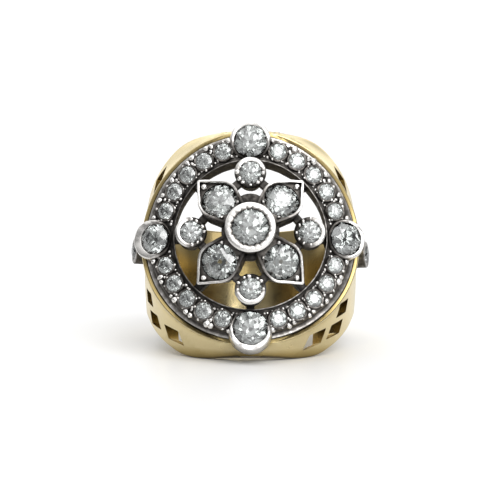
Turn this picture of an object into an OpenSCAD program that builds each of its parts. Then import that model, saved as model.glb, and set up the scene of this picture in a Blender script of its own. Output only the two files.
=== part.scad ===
// Cluster ring: a wide gold band with an openwork silver cluster of old-cut stones set in its head.
// Millimetres. The ring lies on its side as it would on a table: the head faces -Y, +Z is up,
// and the origin is on the table under the middle of the ring.

/* [Finger hole and band] */
// Diameter of the finger hole
finger_d = 18; // [16:0.5:20]
// Thickness of the band at the middle of its width
band_t = 1.95; // [1.6:0.05:2.4]
// How far the domed band falls away towards its widest edge
band_fall = 1.2; // [0.8:0.1:1.4]
// Width of the shank
shank_w = 10; // [7:0.5:12]
// Reach of the head from the cluster's middle to the edge that it rests on
reach_low = 11.9; // [11.7:0.1:13]
// Reach of the head to the opposite edge
reach_high = 11.1; // [11.1:0.1:12]
// Radius of the curve where the shank starts to widen, seen from the side
flare_r = 8; // [4:1:12]
// Radius that softens the head's corners, seen from the side
corner_r = 4; // [3:0.5:4.5]
// Height above the finger's axis where the shank starts to widen
flare_start = 0.3; // [0:0.1:2]
// Height above the finger's axis where the head has its full reach
flare_end = 7.9; // [7:0.1:8.3]

/* [Head of the band] */
// Outer radius of the gold rim round the cluster
rim_r = 11.05; // [10.95:0.05:11.1]
// Width of the gold rim
rim_w = 0.45; // [0.3:0.05:0.6]
// Height of the cluster's border above the finger's axis
head_top = 13; // [12.8:0.1:14]
// Radius of the saddle that the head follows across the finger
saddle_r = 21.5; // [19:0.5:30]
// How far the gold rim lies below the cluster's border
rim_step = 1.5; // [1.2:0.1:1.7]
// How high the skirt at the rim's foot stands above the band
skirt_rise = 1.7; // [0.8:0.1:2.2]
// How far the skirt spreads from the rim's foot
skirt_w = 2.4; // [1.6:0.1:3]

/* [Pierced shoulders] */
// Long side of a pierced lozenge
lozenge_long = 2.5; // [2:0.1:2.6]
// Short side of a pierced lozenge
lozenge_short = 1.45; // [1:0.05:1.5]
// Lean of the long sides from the direction round the finger
lozenge_lean = 25; // [20:1:30]
// Lean of the short sides from the direction round the finger
lozenge_rise = 85; // [75:1:95]

/* [Cluster] */
// Inner radius of the border of small stones
border_in = 7.62; // [7.4:0.02:7.8]
// Outer radius of the border of small stones
border_out = 10.2; // [10.05:0.05:10.3]
// Radius of the circle of small stones
border_ring = 9; // [8.9:0.05:9.1]
// Diameter of a small border stone
border_stone_d = 1.9; // [1.7:0.05:2]
// Depth of the border's flange
flange_h = 2.2; // [2:0.1:2.4]
// Depth of the gallery tube inside the border
gallery_h = 3; // [2.8:0.1:3.6]
// Radius of the circle of the four large border stones
cardinal_ring = 9.6; // [9.4:0.05:9.8]
// Diameter of a large border stone of the middle size
cardinal_stone_d = 3.4; // [3.1:0.05:3.4]
// Outer diameter of a large border collet at its top
cardinal_collet_d = 4.15; // [4.1:0.05:4.3]
// Height of the large stones' collets above the border
cardinal_lift = 0.25; // [0.1:0.05:0.4]

/* [Flower] */
// Radius of the hub under the centre collet
hub_r = 2.9; // [2.6:0.1:3.2]
// Height of the hub above the cluster's border
hub_rise = 1.45; // [1.2:0.05:1.7]
// Thickness of the webs and arms that carry the flower
arm_w = 0.8; // [0.6:0.1:1]
// Distance of a petal's stone from the middle
petal_ring = 4.45; // [4.3:0.05:4.6]
// Half the width of a petal where it ends under the centre collet
petal_foot_w = 1.3; // [1.2:0.05:1.5]
// Distance of a petal's tip from the middle
petal_tip = 7.5; // [7.2:0.05:7.55]
// Half the width of a petal
petal_half_w = 2.12; // [2:0.02:2.3]
// Height of the petals' stones above the cluster's border
petal_rise = 1.9; // [1.6:0.1:2.4]
// Depth of a petal below its stone's setting
petal_h = 1.6; // [1.3:0.1:1.8]
// Height of a petal's rail above its stone's setting
petal_recess = 0.3; // [0.2:0.05:0.4]
// Thickness of a petal's rail
petal_rail = 0.24; // [0.18:0.02:0.3]
// Outward tilt of a petal
petal_tilt = 18; // [10:1:24]
// Diameter of a petal's stone
petal_stone_d = 3.55; // [3.2:0.05:3.6]
// Distance of a small bezel from the middle
bezel_ring = 5.93; // [5.85:0.01:6]
// Outer diameter of a small bezel
bezel_d = 3.2; // [3:0.05:3.3]
// Height of the small bezels above the cluster's border
bezel_rise = 2; // [1.6:0.1:2.4]
// Diameter of a small bezel's stone
bezel_stone_d = 2.3; // [2:0.05:2.4]
// Outer diameter of the centre collet
centre_collet_d = 5.15; // [4.9:0.05:5.3]
// Height of the centre collet above the cluster's border
centre_rise = 3.5; // [3:0.1:4]
// Diameter of the centre stone
centre_stone_d = 3.9; // [3.5:0.05:4.1]

/* [Side collets] */
// Place of a side collet round the band, from the head
side_angle = 77; // [74:1:79]
// Distance of the west collet from the middle of the band's width
side_place = 0.5; // [0:0.1:1]
// How much nearer to the resting edge the east collet sits
side_drop = 0.4; // [0:0.1:0.6]
// Outer diameter of a side collet
side_collet_d = 2.7; // [2.4:0.1:3]
// Height of a side collet above the band
side_collet_h = 1.3; // [0.8:0.1:1.4]
// Diameter of a side stone
side_stone_d = 1.9; // [1.6:0.05:2]

/* [Fit] */
// Clearance between a stone and its seat
stone_gap = 0.04; // [0.02:0.01:0.08]
// Clearance between silver and gold
solder_gap = 0.05; // [0.03:0.01:0.1]

/* [Hidden] */
$fn = 96;

bore_r = finger_d / 2;
band_r = bore_r + band_t;
dome_r = (reach_low * reach_low + band_fall * band_fall) / (2 * band_fall);
saddle_z = head_top - saddle_r;
big = 4 * reach_low;

// Outer radius of the domed band at a distance y from the middle of its width
function band_r_at(y) = band_r - dome_r + sqrt(dome_r * dome_r - y * y);

// Height of the saddle's surface at a distance x from its crest
function saddle_top(x) = saddle_z + sqrt(saddle_r * saddle_r - x * x);

shank_edge_r = band_r_at(shank_w / 2);

// Centre of a softened corner of the head for a reach: a distance along the finger and a height
function flank(reach) = atan((reach - shank_w / 2) / (flare_end - flare_start));
function corner_height(reach) = flare_end + corner_r * tan(flank(reach) / 2);

// The ring rests on the head's lower corner and on the edge of the shank's back
lean_reach = reach_low - corner_r - shank_w / 2;
lean_height = corner_height(reach_low) + shank_edge_r;
rest_tilt = atan(lean_reach / lean_height) + asin(corner_r / norm([lean_reach, lean_height]));
rest_z = shank_w / 2 * cos(rest_tilt) + shank_edge_r * sin(rest_tilt);
front_reach = (head_top + centre_rise) * cos(rest_tilt) + centre_collet_d / 2 * sin(rest_tilt);
back_reach = shank_edge_r * cos(rest_tilt) + shank_w / 2 * sin(rest_tilt);
rest_y = (front_reach - back_reach) / 2;

// Gold rim, seat and opening
rim_in = rim_r - rim_w;
flange_r = rim_in - solder_gap;
gallery_wall = 0.65;
gallery_r = border_in + gallery_wall;
opening_r = gallery_r + solder_gap;
rim_taper = 0.5;
flange_top = 1.2;
cardinal_depth = 1.3;
cardinal_foot = 1.08;

// Levels of the arms below the border's surface, how far a foot narrows and how far joined silver overlaps
arm_top = 0.9;
arm_h = 0.9;
hub_h = 0.9;
web_start = 0.6;
strut_drop = 0.4;
strut_h = 0.8;
bezel_foot = 0.8;
centre_foot = 0.9;
petal_foot = petal_ring - centre_collet_d / 3;
weld = 0.1;

// Sockets of the side collets
side_foot = 0.35;
side_seat_r = band_r + solder_gap;

// Proportions of an old cut, as shares of the stone's diameter
cut_sides = 8;
table_share = 0.5;
star_share = 0.74;
crown_share = 0.16;
girdle_share = 0.03;
pavilion_share = 0.4;
lower_share = 0.34;
culet_share = 0.12;

// Setting: how much a lip covers the girdle and how deep a girdle sits below the metal's face
lip_share = 0.06;
sink_share = 0.09;

// Places of the small stones in one quarter of the border, in degrees from the large stone
border_angles = [18, 31.5, 45, 58.5, 72];

// The four large border stones from east round through north: their size and their collet's as shares of
// the middle size, and how far the collet's middle lies outward of the stone's
STONE = 0;
COLLET = 1;
OUTWARD = 2;
cardinals = [
  [1.03, 1, 0],
  [1, 1, 0],
  [0.92, 1, 0.25],
  [1.06, 1.03, 0.12]
];

// How far each stone of a ring is turned in its setting from the one before
stone_turn = 19;

// The skin of the band: how many sides and rows it has, and how far its rows run past the shaped sides
skin_sides = 72;
skin_rows = 20;
skin_margin = 0.2;
skirt_full = 55;
skirt_end = 92;

// Pierced lozenges: shoulder (-1 west, 1 east), edge (-1 lower, 1 upper), angle round the band from the
// head, and distance from the middle as a share of the head's reach
SHOULDER = 0;
EDGE = 1;
ANGLE = 2;
PLACE = 3;
lozenges = [
  [-1, -1, 47, 0.768],
  [-1, -1, 65.5, 0.59],
  [-1, -1, 70.3, 0.385],
  [1, -1, 37.3, 0.826],
  [1, -1, 53.6, 0.703],
  [1, -1, 56.6, 0.518],
  [-1, 1, 60, 0.665],
  [-1, 1, 73.5, 0.37],
  [1, 1, 60, 0.665],
  [1, 1, 73.5, 0.37]
];

// Positions

module at_rest() {
  translate([0, rest_y, rest_z]) rotate([90 - rest_tilt, 0, 0]) children();
}

// Puts a piece on the head's saddle, upright on its surface, at a distance r and an angle from +X
module on_saddle(r, angle) {
  x = r * cos(angle);
  y = r * sin(angle);
  translate([0, y, saddle_z]) rotate([0, asin(x / saddle_r), 0]) translate([0, 0, saddle_r]) children();
}

module at_petal(i) {
  angle = 45 + 90 * (i - 1);
  z = saddle_top(petal_ring * cos(angle)) + petal_rise;
  rotate([0, 0, angle]) translate([petal_ring, 0, z]) rotate([0, petal_tilt, 0]) children();
}

module at_bezel(i) {
  angle = 90 * (i - 1);
  z = saddle_top(bezel_ring * cos(angle)) + bezel_rise;
  rotate([0, 0, angle]) translate([bezel_ring, 0, z]) children();
}

module at_centre() {
  translate([0, 0, head_top + centre_rise]) children();
}

module at_cardinal(i) {
  angle = 90 * (i - 1);
  on_saddle(cardinal_ring, angle) translate([0, 0, cardinal_lift]) rotate([0, 0, angle]) children();
}

module at_border(i) {
  quarter = floor((i - 1) / len(border_angles));
  place = border_angles[(i - 1) % len(border_angles)];
  on_saddle(border_ring, 90 * quarter + place) children();
}

module at_side(side) {
  place = side_place - (side > 0 ? side_drop : 0);
  mirror([side < 0 ? 1 : 0, 0, 0]) rotate([0, side_angle, 0]) translate([0, place, side_seat_r])
    children();
}

// Stones

function ring_points(count, r, z, turn) =
  [for (k = [0:count - 1]) [r * cos(360 * k / count + turn), r * sin(360 * k / count + turn), z]];

// An old-cut stone with its girdle's middle at the origin and its table up
module stone(d) {
  n = cut_sides;
  half = 180 / n;
  r = d / 2;
  g = girdle_share * d / 2;
  crown = crown_share * d;
  pavilion = pavilion_share * d;
  table_r = table_share * r;
  star_r = star_share * r;
  lower_r = lower_share * r;
  culet_r = culet_share * r;
  star_z = g + crown * (r - star_r * cos(half)) / (r - table_r);
  lower_z = -g - pavilion * (r - lower_r * cos(half)) / (r - culet_r);
  points = concat(
    ring_points(n, table_r, g + crown, 0),
    ring_points(n, star_r, star_z, half),
    ring_points(2 * n, r, g, 0),
    ring_points(2 * n, r, -g, 0),
    ring_points(n, lower_r, lower_z, half),
    ring_points(n, culet_r / cos(half), -g - pavilion, half)
  );
  star = n;
  upper = 2 * n;
  lower = 4 * n;
  deep = 6 * n;
  culet = 7 * n;
  faces = concat(
    [[for (k = [n - 1:-1:0]) k]],
    [for (k = [0:n - 1]) [k, (k + 1) % n, star + k]],
    [for (k = [0:n - 1]) [k, star + k, upper + 2 * k]],
    [for (k = [0:n - 1]) [k, upper + 2 * k, star + (k + n - 1) % n]],
    [for (k = [0:n - 1]) [star + k, upper + 2 * k + 1, upper + 2 * k]],
    [for (k = [0:n - 1]) [star + k, upper + (2 * k + 2) % (2 * n), upper + 2 * k + 1]],
    [for (k = [0:2 * n - 1]) [upper + k, upper + (k + 1) % (2 * n), lower + (k + 1) % (2 * n), lower + k]],
    [for (k = [0:n - 1]) [lower + 2 * k, lower + 2 * k + 1, deep + k]],
    [for (k = [0:n - 1]) [lower + 2 * k + 1, lower + (2 * k + 2) % (2 * n), deep + k]],
    [for (k = [0:n - 1]) [lower + 2 * k, deep + k, culet + k]],
    [for (k = [0:n - 1]) [lower + 2 * k, culet + k, culet + (k + n - 1) % n]],
    [for (k = [0:n - 1]) [lower + 2 * k, culet + (k + n - 1) % n, deep + (k + n - 1) % n]],
    [[for (k = [0:n - 1]) culet + k]]
  );
  polyhedron(points = points, faces = faces, convexity = 2);
}

// Diameter of a large border stone
function cardinal_d(i) = cardinal_stone_d * cardinals[i - 1][STONE];

// Sinks a stone so that the metal's face lies a little above its girdle
module sunk(d) {
  translate([0, 0, -sink_share * d]) children();
}

// The hollow that a stone of diameter d needs in the metal: seat, open back and open top under a thin lip
module seat(d, back) {
  r = d / 2 + stone_gap;
  g = girdle_share * d / 2 + stone_gap;
  lip = lip_share * d;
  crown_slope = crown_share / ((1 - table_share) / 2);
  pavilion = pavilion_share * d + stone_gap;
  back_r = culet_share * d / 2 + stone_gap;
  sunk(d) rotate_extrude() polygon([
    [0, -g - pavilion - back],
    [back_r, -g - pavilion - back],
    [back_r, -g - pavilion],
    [r, -g],
    [r, g],
    [r - lip, g + lip * crown_slope],
    [r - lip, d],
    [0, d]
  ]);
}

// Gold band

// How much of the skirt is left at an angle round the band: all of it at the head, none behind it
function skirt_share(angle) = let (t = min(1, max(0, (abs(angle) - skirt_full) / (skirt_end - skirt_full))))
  1 - t * t * (3 - 2 * t);

// A point of the band's outer skin: domed across its width and swept up to the rim's foot
function skin_point(angle, y) =
  let (
    r = band_r_at(y),
    x = r * sin(angle),
    away = max(0, norm([x, y]) - rim_r) / skirt_w,
    rise = skirt_rise * pow(max(0, 1 - away), 2) * skirt_share(angle)
  )
  [x, y, r * cos(angle) + rise];

// The band before its sides are shaped: rows of skin points round the finger, closed inside the finger hole
module band_body() {
  sides = [for (k = [0:skin_sides - 1]) 360 * k / skin_sides - 180];
  first = -reach_low - skin_margin;
  step = (reach_low + reach_high + 2 * skin_margin) / skin_rows;
  rows = [for (k = [0:skin_rows]) first + k * step];
  inner_r = bore_r - band_t;
  ring = skin_rows + 3;
  points = [
    for (angle = sides)
      for (k = [0:ring - 1])
        k <= skin_rows ? skin_point(angle, rows[k]) :
        [inner_r * sin(angle), rows[k == skin_rows + 1 ? skin_rows : 0], inner_r * cos(angle)]
  ];
  faces = [
    for (s = [0:skin_sides - 1])
      for (k = [0:ring - 1])
        let (next = (s + 1) % skin_sides, a = s * ring, b = next * ring, j = (k + 1) % ring)
        each [[a + k, b + j, b + k], [a + k, a + j, b + j]]
  ];
  polyhedron(points = points, faces = faces, convexity = 6);
}

// One side of the band's outline: a straight flank between two curves, then the head's full reach
module half_outline(reach) {
  z = corner_height(reach);
  foot = flare_r * tan(flank(reach) / 2);
  difference() {
    polygon([
      [shank_w / 2, flare_start],
      [shank_w / 2, flare_start - foot],
      [shank_w / 2 + flare_r, flare_start - foot],
      [shank_w / 2 + foot * sin(flank(reach)), flare_start + foot * cos(flank(reach))]
    ]);
    translate([shank_w / 2 + flare_r, flare_start - foot]) circle(r = flare_r);
  }
  difference() {
    polygon([
      [0, -big],
      [shank_w / 2, -big],
      [shank_w / 2, flare_start],
      [reach, flare_end],
      [reach, big],
      [0, big]
    ]);
    difference() {
      polygon([
        [reach - corner_r, z],
        [reach - corner_r + big * cos(flank(reach)), z - big * sin(flank(reach))],
        [reach - corner_r + big, z]
      ]);
      translate([reach - corner_r, z]) circle(r = corner_r);
    }
  }
}

// Seen from the side, the band is narrow behind the finger and widens evenly up to the head
module side_outline() {
  rotate([90, 0, 90]) linear_extrude(height = big, center = true) {
    half_outline(reach_high);
    mirror([1, 0]) half_outline(reach_low);
  }
}

// Everything under the head's saddle, lowered by a depth
module saddle_block(depth) {
  translate([0, 0, saddle_z]) rotate([90, 0, 0])
    cylinder(r = saddle_r - depth, h = big, center = true, $fn = 2 * $fn);
}

module rim_wall() {
  cylinder(r1 = rim_r - rim_taper, r2 = rim_r, h = head_top);
}

// Half of a side of a lozenge, as a step back round the finger and a step towards the edge
function half_side(size, lean) = size / 2 * [-cos(lean), sin(lean)];

// One slanting lozenge, cut outward from the finger hole
module lozenge_cut(angle, place) {
  long = half_side(lozenge_long, lozenge_lean);
  short = half_side(lozenge_short, lozenge_rise);
  rotate([0, angle, 0]) translate([0, place, bore_r - band_t])
    linear_extrude(height = 3 * band_t) polygon([-long - short, long - short, long + short, short - long]);
}

module pierced_shoulders() {
  for (row = lozenges)
    mirror([row[SHOULDER] < 0 ? 1 : 0, 0, 0]) mirror([0, row[EDGE] < 0 ? 1 : 0, 0])
      lozenge_cut(row[ANGLE], row[PLACE] * (row[EDGE] < 0 ? reach_low : reach_high));
}

module side_socket() {
  for (side = [-1, 1])
    at_side(side) translate([0, 0, -side_foot - solder_gap])
      cylinder(d = side_collet_d + 2 * solder_gap, h = big);
}

module band() {
  color("gold") at_rest() difference() {
    intersection() {
      union() {
        band_body();
        rim_wall();
      }
      side_outline();
      saddle_block(rim_step);
    }
    rotate([90, 0, 0]) cylinder(r = bore_r, h = big, center = true);
    difference() {
      cylinder(r = rim_in, h = big);
      saddle_block(flange_h + solder_gap);
    }
    cylinder(r = opening_r, h = big);
    pierced_shoulders();
    side_socket();
  }
}

// Silver cluster

module border() {
  difference() {
    union() {
      intersection() {
        saddle_block(0);
        cylinder(r = border_out, h = big);
      }
      intersection() {
        saddle_block(flange_top);
        cylinder(r = flange_r, h = big);
      }
    }
    saddle_block(flange_h);
  }
}

module gallery() {
  difference() {
    intersection() {
      saddle_block(flange_top);
      cylinder(r = gallery_r, h = big);
    }
    saddle_block(gallery_h);
  }
}

module cardinal_collet(i) {
  top_d = cardinal_collet_d * cardinals[i - 1][COLLET];
  translate([cardinals[i - 1][OUTWARD], 0, -cardinal_depth])
    cylinder(d1 = top_d * cardinal_foot, d2 = top_d, h = cardinal_depth);
}

// Arms from the small bezels out to the border's inner wall, following the saddle
module bezel_arms() {
  difference() {
    intersection() {
      saddle_block(arm_top);
      for (angle = [0:90:270])
        rotate([0, 0, angle]) translate([bezel_ring, -arm_w / 2, 0])
          cube([border_in + weld - bezel_ring, arm_w, big]);
    }
    saddle_block(arm_top + arm_h);
  }
}

// A petal's outline: a leaf drawn out to a point along +X, which narrows towards the centre collet
module petal_outline(inset) {
  r = petal_half_w - inset;
  tip = (petal_tip - petal_ring) / cos(petal_tilt) * r / petal_half_w;
  touch = acos(r / tip);
  foot = [-petal_foot, petal_foot_w - inset];
  leave = atan2(foot[1], foot[0]) - acos(r / norm(foot));
  union() {
    circle(r = r);
    polygon([[0, 0], [r * cos(touch), -r * sin(touch)], [tip, 0], [r * cos(touch), r * sin(touch)]]);
    polygon([
      [r * cos(leave), r * sin(leave)],
      foot,
      [foot[0], -foot[1]],
      [r * cos(leave), -r * sin(leave)]
    ]);
  }
}

module petal_tray() {
  difference() {
    translate([0, 0, -petal_h]) linear_extrude(height = petal_h + petal_recess) petal_outline(0);
    linear_extrude(height = petal_h) petal_outline(petal_rail);
  }
}

// Upright webs that carry the petals: each runs from under the stone out to the border's inner wall
module petal_webs() {
  difference() {
    intersection() {
      for (i = [1:4])
        at_petal(i) translate([web_start, -arm_w / 2, -big - petal_h + weld]) cube([petal_tip, arm_w, big]);
      cylinder(r = border_in + weld, h = big);
    }
    saddle_block(arm_top + arm_h);
  }
}

// Short struts from a small bezel to the two petals beside it
module bezel_struts() {
  reach = petal_ring * [cos(45), sin(45)] - [bezel_ring, 0];
  length = norm(reach) - (petal_half_w + petal_stone_d / 2) / 2;
  for (side = [-1, 1])
    rotate([0, 0, side * atan2(reach[1], reach[0])]) translate([0, -arm_w / 2, -strut_drop - strut_h])
      cube([length, arm_w, strut_h]);
}

// A tapered post that ends at its top face
module post(d_top, foot_share, length) {
  translate([0, 0, -length]) cylinder(d1 = d_top * foot_share, d2 = d_top, h = length);
}

module flower() {
  translate([0, 0, head_top + hub_rise - hub_h]) cylinder(r = hub_r, h = hub_h);
  at_centre() post(centre_collet_d, centre_foot, centre_rise - hub_rise + hub_h);
  for (i = [1:4]) {
    at_petal(i) petal_tray();
    at_bezel(i) post(bezel_d, bezel_foot, bezel_rise + arm_top + arm_h);
    at_bezel(i) bezel_struts();
  }
  petal_webs();
  bezel_arms();
}

module cluster() {
  color("silver") at_rest() difference() {
    union() {
      difference() {
        union() {
          border();
          gallery();
        }
        cylinder(r = border_in, h = big);
      }
      difference() {
        for (i = [1:4]) at_cardinal(i) cardinal_collet(i);
        cylinder(r = border_in, h = big);
      }
      flower();
    }
    at_centre() seat(centre_stone_d, centre_rise);
    for (i = [1:4]) {
      at_petal(i) seat(petal_stone_d, petal_rise);
      at_bezel(i) seat(bezel_stone_d, bezel_rise);
      at_cardinal(i) seat(cardinal_d(i), flange_h);
    }
    for (i = [1:20]) at_border(i) seat(border_stone_d, flange_h);
    rotate([90, 0, 0]) cylinder(r = bore_r + solder_gap, h = big, center = true);
  }
}

// Side collets and stones

module side_collet(side) {
  color("silver") at_rest() difference() {
    at_side(side) translate([0, 0, -side_foot]) cylinder(d = side_collet_d, h = side_foot + side_collet_h);
    at_side(side) translate([0, 0, side_collet_h]) seat(side_stone_d, 0);
  }
}

module centre_stone() {
  color("white") at_rest() at_centre() sunk(centre_stone_d) stone(centre_stone_d);
}

module petal_stone(i) {
  color("white") at_rest() at_petal(i) sunk(petal_stone_d) rotate([0, 0, stone_turn * i])
    stone(petal_stone_d);
}

module bezel_stone(i) {
  color("white") at_rest() at_bezel(i) sunk(bezel_stone_d) rotate([0, 0, stone_turn * i])
    stone(bezel_stone_d);
}

module cardinal_stone(i) {
  color("white") at_rest() at_cardinal(i) sunk(cardinal_d(i)) rotate([0, 0, stone_turn * i])
    stone(cardinal_d(i));
}

module border_stone(i) {
  color("white") at_rest() at_border(i) sunk(border_stone_d) rotate([0, 0, stone_turn * i])
    stone(border_stone_d);
}

module side_stone(side) {
  color("white") at_rest() at_side(side) translate([0, 0, side_collet_h])
    sunk(side_stone_d) stone(side_stone_d);
}

band();
cluster();
side_collet(1);  // side_collet_east
side_collet(-1);  // side_collet_west
centre_stone();
for (i = [1:4]) petal_stone(i);
for (i = [1:4]) bezel_stone(i);
for (i = [1:4]) cardinal_stone(i);
for (i = [1:20]) border_stone(i);
side_stone(1);  // side_stone_east
side_stone(-1);  // side_stone_west
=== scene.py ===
# %% [markdown]
# # A gold and silver cluster ring
# A wide gold band carries a round head of pierced silver, set with old-cut diamonds. Its solids were built
# first, and this lesson dresses them. The metal solids could simply be given materials, but their edges are
# sharp, so every metal piece is made again here with soft edges and the marks of the hand. The stones stay,
# because their facets are right already. The imported solids are loaded first.

# %% The imported solids
from math import acos, asin, atan2, cos, degrees, pi, radians, sin, sqrt, tan
from random import seed, uniform

import bmesh
import bpy
from mathutils import Matrix, Vector, noise


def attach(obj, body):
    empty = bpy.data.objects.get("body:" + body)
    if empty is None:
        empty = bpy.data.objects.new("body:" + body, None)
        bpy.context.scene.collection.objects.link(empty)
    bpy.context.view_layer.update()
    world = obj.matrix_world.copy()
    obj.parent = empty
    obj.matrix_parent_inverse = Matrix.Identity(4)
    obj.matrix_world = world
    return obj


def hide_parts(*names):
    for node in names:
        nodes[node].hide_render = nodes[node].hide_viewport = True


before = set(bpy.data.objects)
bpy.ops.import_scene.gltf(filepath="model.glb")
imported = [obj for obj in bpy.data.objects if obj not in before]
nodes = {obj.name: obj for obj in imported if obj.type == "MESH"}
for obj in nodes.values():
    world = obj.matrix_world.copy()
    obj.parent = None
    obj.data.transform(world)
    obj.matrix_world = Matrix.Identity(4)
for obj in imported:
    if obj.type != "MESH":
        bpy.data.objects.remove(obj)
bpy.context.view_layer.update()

seed(7)  # the same small accidents in every run, here and in the noise
noise.seed_set(7)
print("packed nodes:", len(nodes))

# %% [markdown]
# The ring lies on its side, leaning on the head's lower corner. It could be modelled as it lies, but then
# every cut and every turned ring would be slanted. It is made in the ring's own directions instead, in
# millimetres: X across the finger, Y along the finger, Z out through the middle of the head. One matrix then
# lays each finished piece down where the solids lie.

# %% The ring's own directions
MM = 0.001
REST_TILT, REST_Y, REST_Z = 19.488, 2.31055, 8.2965  # the lean, and the middle of the finger hole


def turn(angle, axis):
    return Matrix.Rotation(radians(angle), 4, axis)


def shift(x, y, z):
    return Matrix.Translation((x, y, z))


LAID_DOWN = Matrix.Scale(MM, 4) @ shift(0, REST_Y, REST_Z) @ turn(90 - REST_TILT, "X")
print("middle of the finger hole, m:", [round(c, 5) for c in LAID_DOWN.translation])

# %% [markdown]
# The head isn't flat: it follows a saddle that falls away to both sides of the finger, and each setting
# stands square on it. The settings could be dragged there one by one. Two small functions do it better,
# because the ring repeats itself in quarters: each gives a setting's place as a matrix with Z out of the metal.

# %% Places on the head
HEAD_TOP, SADDLE_R = 13, 21.5


def saddle_top(x):
    """The saddle's height at a distance from the middle of the head."""
    return HEAD_TOP - SADDLE_R + sqrt(SADDLE_R ** 2 - x * x)


def on_saddle(r, angle, lift=0):
    """A place on the border, which leans as the saddle does."""
    x, y = r * cos(radians(angle)), r * sin(radians(angle))
    lean = degrees(asin(x / SADDLE_R))
    middle = shift(0, y, HEAD_TOP - SADDLE_R) @ turn(lean, "Y")
    return middle @ shift(0, 0, SADDLE_R + lift) @ turn(angle, "Z")


def on_flower(r, angle, rise, tilt=0):
    """A place in the flower, which stands upright above the saddle or tips outwards."""
    z = saddle_top(r * cos(radians(angle))) + rise
    return turn(angle, "Z") @ shift(r, 0, z) @ turn(tilt, "Y")


CENTRE_RISE = 3.5
PETAL_RING, PETAL_RISE, PETAL_TILT = 4.45, 1.9, 18
BEZEL_RING, BEZEL_RISE = 5.93, 2
CARDINAL_RING, CARDINAL_LIFT = 9.6, 0.25
BORDER_RING, BORDER_ANGLES = 9, [18, 31.5, 45, 58.5, 72]
SIDE_ANGLE, SIDE_R, SIDE_ALONG = 77, 11.0, ((1, 0.1), (-1, 0.5))

quarters = range(4)
centre_place = shift(0, 0, HEAD_TOP + CENTRE_RISE)
petal_places = [on_flower(PETAL_RING, 45 + 90 * q, PETAL_RISE, PETAL_TILT) for q in quarters]
bezel_places = [on_flower(BEZEL_RING, 90 * q, BEZEL_RISE) for q in quarters]
cardinal_places = [on_saddle(CARDINAL_RING, 90 * q, CARDINAL_LIFT) for q in quarters]
border_places = [on_saddle(BORDER_RING, 90 * q + a) for q in quarters for a in BORDER_ANGLES]
side_places = [turn(SIDE_ANGLE * side, "Y") @ shift(0, along, SIDE_R) for side, along in SIDE_ALONG]
rows = (petal_places, bezel_places, cardinal_places, border_places, side_places)
print("settings:", 1 + sum(len(row) for row in rows))

# %% [markdown]
# The ring is seen almost level with the table, 12 degrees off the head's axis. A camera could be moved about
# until the view looks right. Here it is worked out instead, from one pixel where the middle of the head shows
# and from how many pixels a millimetre takes, because then it can't drift away from the picture.

# %% Camera
HEAD_ON = 12
PICTURE, PX_PER_MM, SEEN_AT = 500, 10, (250.4, 234.4)
DISTANCE, SENSOR = 350, 36

elevation = REST_TILT - HEAD_ON
look = turn(90 - elevation, "X")
head = (LAID_DOWN @ shift(0, 0, HEAD_TOP)).translation
beside = Vector(((PICTURE / 2 - SEEN_AT[0]) / PX_PER_MM, (SEEN_AT[1] - PICTURE / 2) / PX_PER_MM, 0))
aim = head + look @ beside * MM
camera = bpy.data.objects.new("camera", bpy.data.cameras.new("camera"))
camera.matrix_world = Matrix.Translation(aim) @ look @ shift(0, 0, DISTANCE * MM)
camera.data.sensor_width = SENSOR
camera.data.lens = SENSOR * PX_PER_MM * DISTANCE / PICTURE
camera.data.clip_start, camera.data.clip_end = 0.01, 50
bpy.context.scene.collection.objects.link(camera)
bpy.context.scene.camera = camera
print("camera height, m:", round(camera.matrix_world.translation.z, 4))

# %% [markdown]
# The ring needs three materials, and each is a small graph of nodes. Nodes could be placed by hand in the
# editor, but in a script a few helpers keep each material as short as a recipe. All patterns read Object
# coordinates, in metres, so a noise of scale 1000 has patches about a millimetre across on every piece.

# %% Helpers for materials
def new_material(name):
    """An empty material, its nodes and its main shader."""
    material = bpy.data.materials.new(name)
    material.use_nodes = True
    tree = material.node_tree
    return material, tree, tree.nodes["Principled BSDF"]


def add(tree, kind, **values):
    """Adds a node and sets its values, on the socket of that name or else on the node itself."""
    node = tree.nodes.new(kind)
    for key, value in values.items():
        if key in node.inputs:
            node.inputs[key].default_value = value
        else:
            setattr(node, key, value)
    return node


def calculate(tree, operation, *values):
    """One step of arithmetic on numbers and on other nodes' results."""
    node = add(tree, "ShaderNodeMath", operation=operation)
    for socket, value in zip(node.inputs, values):
        if isinstance(value, (int, float)):
            socket.default_value = value
        else:
            tree.links.new(value, socket)
    return node.outputs["Value"]


def rescale(tree, value, low, high, start=0, full=1, kind="LINEAR"):
    """Turns a value that runs from start to full into one that runs from low to high."""
    node = add(tree, "ShaderNodeMapRange", interpolation_type=kind)
    limits = {"From Min": start, "From Max": full, "To Min": low, "To Max": high}
    for name, number in limits.items():
        node.inputs[name].default_value = number
    tree.links.new(value, node.inputs["Value"])
    return node.outputs["Result"]


def ramp(tree, value, stops):
    """Colours for values from 0 to 1, from a short table of (value, colour)."""
    node = add(tree, "ShaderNodeValToRGB")
    band = node.color_ramp
    while len(band.elements) < len(stops):
        band.elements.new(0.5)
    for element, (place, colour) in zip(band.elements, stops):
        element.position, element.color = place, (*colour, 1)
    tree.links.new(value, node.inputs["Fac"])
    return node.outputs["Color"]


def patches(tree, scale, detail=3, stretch=(1, 1, 1)):
    """Noise on Object coordinates, stretched along an axis where the finish has a direction."""
    coords = add(tree, "ShaderNodeTexCoord")
    mapping = add(tree, "ShaderNodeMapping", Scale=stretch)
    grainy = add(tree, "ShaderNodeTexNoise", Scale=scale, Detail=detail)
    tree.links.new(coords.outputs["Object"], mapping.inputs["Vector"])
    tree.links.new(mapping.outputs["Vector"], grainy.inputs["Vector"])
    return grainy.outputs["Fac"]


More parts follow.
